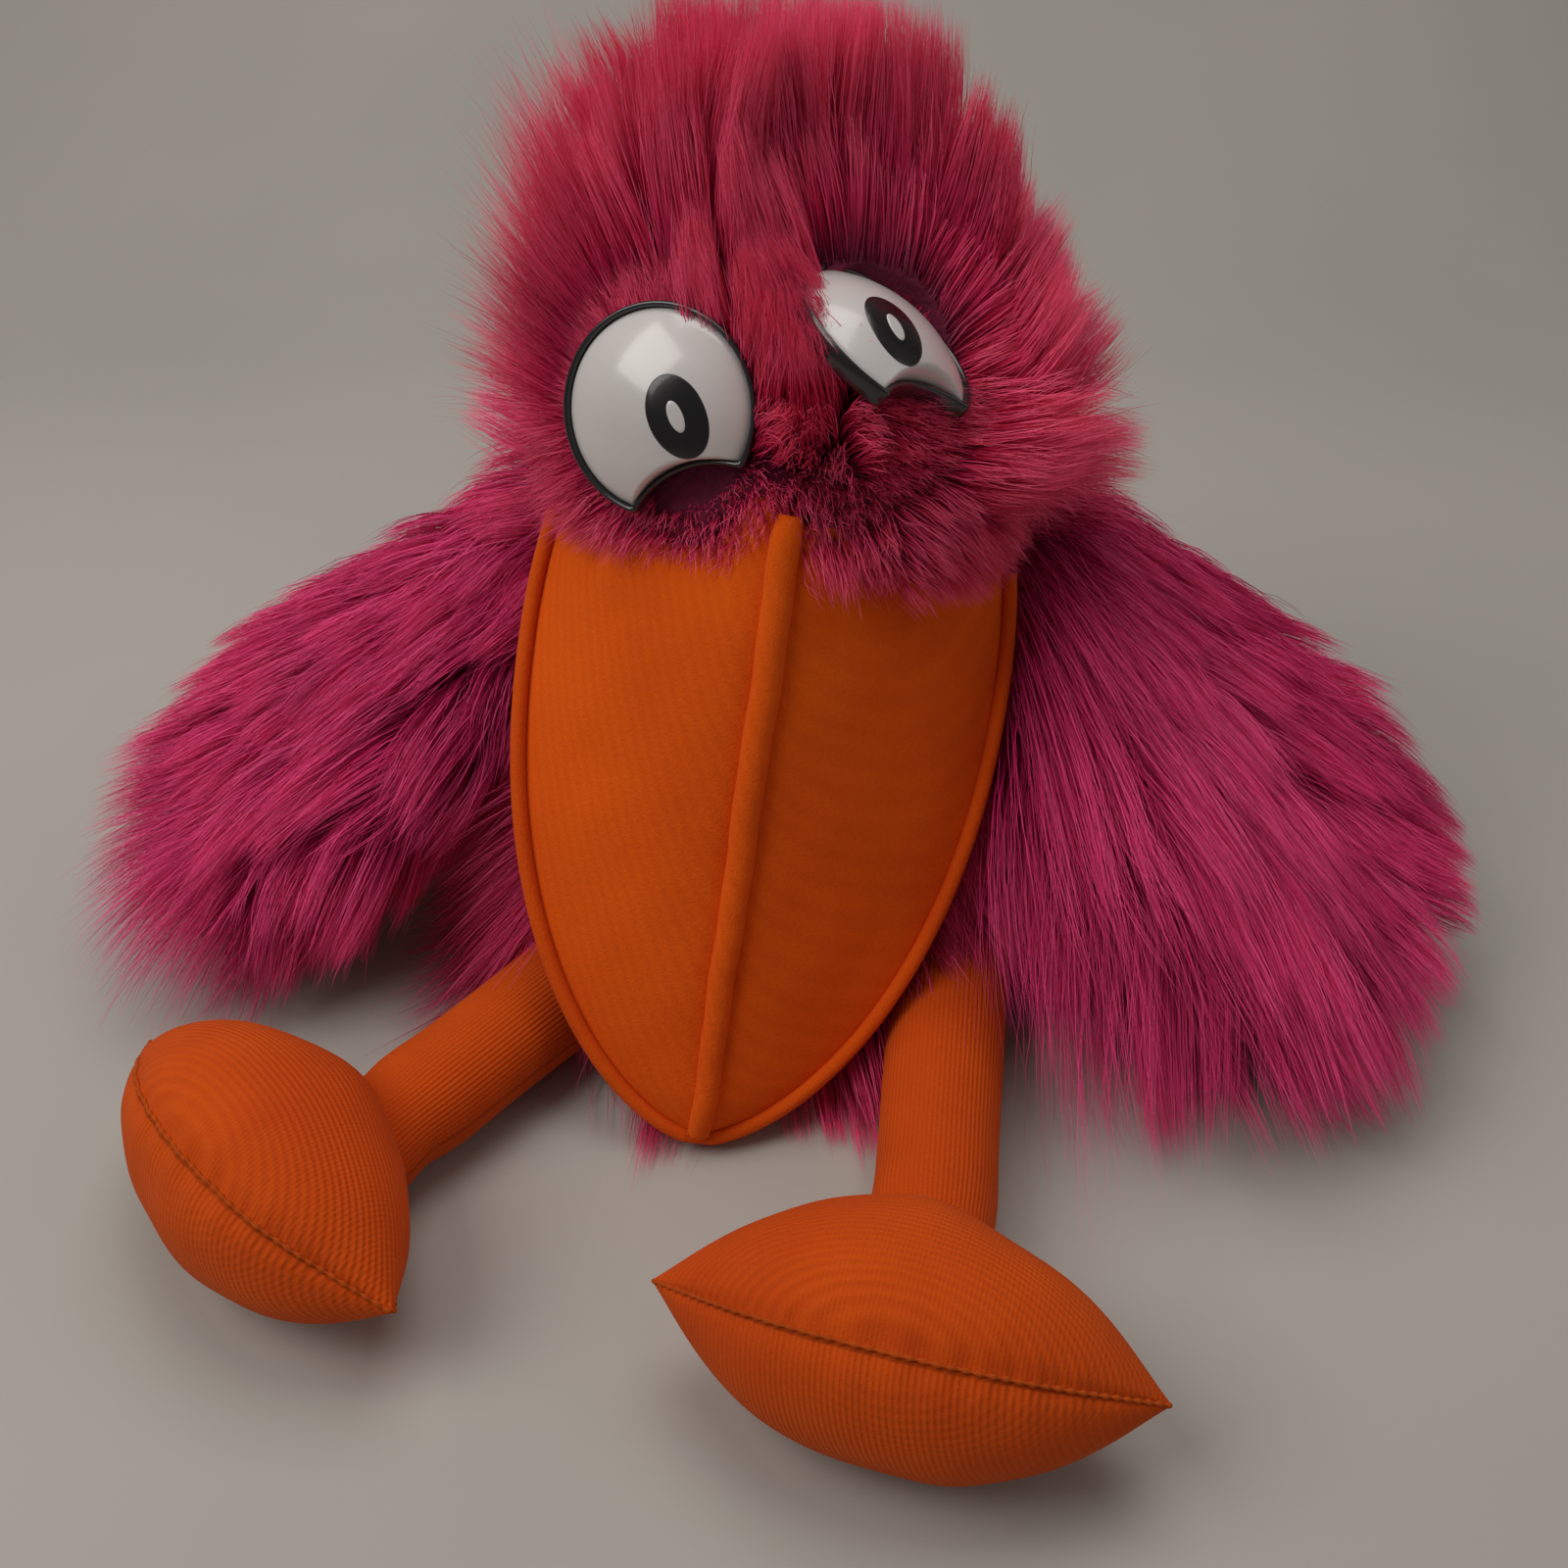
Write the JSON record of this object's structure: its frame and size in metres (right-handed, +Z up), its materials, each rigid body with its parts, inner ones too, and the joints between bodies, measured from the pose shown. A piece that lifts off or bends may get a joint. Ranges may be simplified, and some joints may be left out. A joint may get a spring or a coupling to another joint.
{
  "type": "moving mouth puppet",
  "caption": "Shaggy bird hand puppet with a hinged beak, plastic eyes, furry wings and stuffed legs, worn on one hand.",
  "frame": {"origin": "centre of the hand opening, on the plane the puppet sits on", "axes": "+X to the right seen from the front, -Y the way the puppet faces, +Z up"},
  "size_m": [0.4102, 0.3616, 0.2728],
  "materials": {
    "pink_fur": "matte",
    "rose_fur": "matte",
    "lining_knit": "matte",
    "stuffing": "matte",
    "foam": "matte",
    "stiff_board": "matte",
    "mouth_fleece": "matte",
    "beak_fleece": "matte",
    "orange_knit": "matte",
    "foot_seam": "matte",
    "eye_white": "gloss",
    "eye_glint": "gloss",
    "eye_print": "gloss",
    "eye_black": "gloss",
    "washer_plastic": "matte"
  },
  "bodies": {
    "body": {"sleeve_lining": "lining_knit", "hem_cuff": "lining_knit", "body_padding": "stuffing", "body_fur_front": "pink_fur", "body_fur_back": "pink_fur", "neck_collar": "lining_knit"},
    "jaw": {"throat_foam": "foam", "throat_fur": "pink_fur", "mouth_fold": "mouth_fleece", "jaw_plate": "stiff_board", "jaw_lining": "mouth_fleece", "jaw_foam": "foam", "jaw_cover": "beak_fleece", "jaw_rim": "beak_fleece", "thumb_loop": "lining_knit"},
    "head": {"skull_foam": "foam", "head_fur": "pink_fur", "crest_fur": "rose_fur", "palate_plate": "stiff_board", "palate_lining": "mouth_fleece", "beak_foam": "foam", "beak_cover_left": "beak_fleece", "beak_cover_right": "beak_fleece", "beak_ridge": "beak_fleece", "beak_rim": "beak_fleece", "finger_pocket": "lining_knit", "eye_left_shell": "eye_white", "eye_left_edge": "eye_black", "eye_left_pupil": "eye_print", "eye_left_glint": "eye_glint", "eye_left_post": "eye_black", "eye_left_washer": "washer_plastic", "eye_right_shell": "eye_white", "eye_right_edge": "eye_black", "eye_right_pupil": "eye_print", "eye_right_glint": "eye_glint", "eye_right_post": "eye_black", "eye_right_washer": "washer_plastic"},
    "wing_left": {"wing_left_fur": "rose_fur", "wing_left_lining": "pink_fur", "wing_left_stuffing": "stuffing"},
    "wing_right": {"wing_right_fur": "rose_fur", "wing_right_lining": "pink_fur", "wing_right_stuffing": "stuffing"},
    "leg_left": {"leg_left_cover": "orange_knit", "leg_left_stuffing": "stuffing"},
    "leg_right": {"leg_right_cover": "orange_knit", "leg_right_stuffing": "stuffing"},
    "foot_left": {"foot_left_upper": "orange_knit", "foot_left_sole": "orange_knit", "foot_left_seam": "foot_seam", "foot_left_stuffing": "stuffing"},
    "foot_right": {"foot_right_upper": "orange_knit", "foot_right_sole": "orange_knit", "foot_right_seam": "foot_seam", "foot_right_stuffing": "stuffing"}
  },
  "joints": [
    {"name": "head_nod", "type": "hinge", "parent": "body", "child": "jaw", "pos_m": [0, -0.038, 0.168], "axis": [-0.9882, 0, 0.153], "range_deg": [0, 25]},
    {"name": "mouth_open", "type": "hinge", "parent": "jaw", "child": "head", "pos_m": [0, -0.038, 0.168], "axis": [-0.9882, 0, 0.153], "range_deg": [0, 40]},
    {"name": "wing_left_flap", "type": "hinge", "parent": "body", "child": "wing_left", "pos_m": [-0.07, 0, 0.12], "axis": [-0.4067, 0.9135, 0], "range_deg": [0, 55]},
    {"name": "wing_right_flap", "type": "hinge", "parent": "body", "child": "wing_right", "pos_m": [0.079, -0.005, 0.12], "axis": [-0.6691, -0.7431, 0], "range_deg": [0, 55]},
    {"name": "leg_left_swing", "type": "hinge", "parent": "body", "child": "leg_left", "pos_m": [-0.036, -0.066, 0.018], "axis": [0.788, -0.6157, 0], "range_deg": [0, 75]},
    {"name": "foot_left_tilt", "type": "hinge", "parent": "leg_left", "child": "foot_left", "pos_m": [-0.11357, -0.16529, 0.018], "axis": [0.682, -0.7314, 0], "range_deg": [-15, 15]},
    {"name": "leg_right_swing", "type": "hinge", "parent": "body", "child": "leg_right", "pos_m": [0.054, -0.085, 0.018], "axis": [0.9925, -0.1219, 0], "range_deg": [0, 75]},
    {"name": "foot_right_tilt", "type": "hinge", "parent": "leg_right", "child": "foot_right", "pos_m": [0.03864, -0.21006, 0.018], "axis": [0.9613, -0.2756, 0], "range_deg": [-15, 15]}
  ]
}
